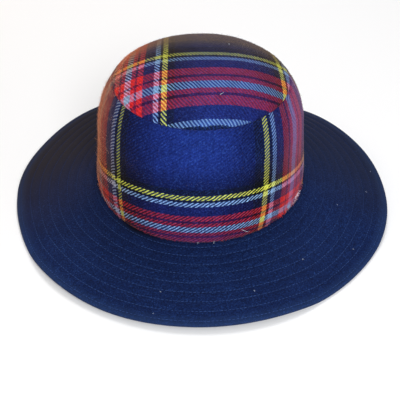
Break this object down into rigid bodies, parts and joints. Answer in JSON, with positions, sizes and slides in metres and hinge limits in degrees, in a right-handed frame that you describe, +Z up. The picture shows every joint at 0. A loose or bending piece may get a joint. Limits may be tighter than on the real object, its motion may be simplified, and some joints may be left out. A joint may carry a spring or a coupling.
{
  "type": "sewn wool brim hat",
  "caption": "Wide-brimmed wool hat that lies on a surface: a round tartan crown of a tip and a side band, and a floppy topstitched felt brim.",
  "frame": {"origin": "on the surface that the hat lies on, under the middle of the brim's box", "axes": "+Z up through the crown, -Y towards the hat's front, +Y along its length"},
  "size_m": [0.3222, 0.352, 0.1253],
  "materials": {
    "tip_tartan": "brushed tartan twill, red and blue with light blue and yellow lines",
    "band_tartan": "brushed tartan twill, royal blue with red, light blue and yellow lines",
    "brim_felt": "matt navy felted wool with rows of blue topstitching"
  },
  "bodies": {
    "root": {"crown_tip": "tip_tartan", "crown_side_band": "band_tartan", "brim": "brim_felt"}
  },
  "joints": []
}
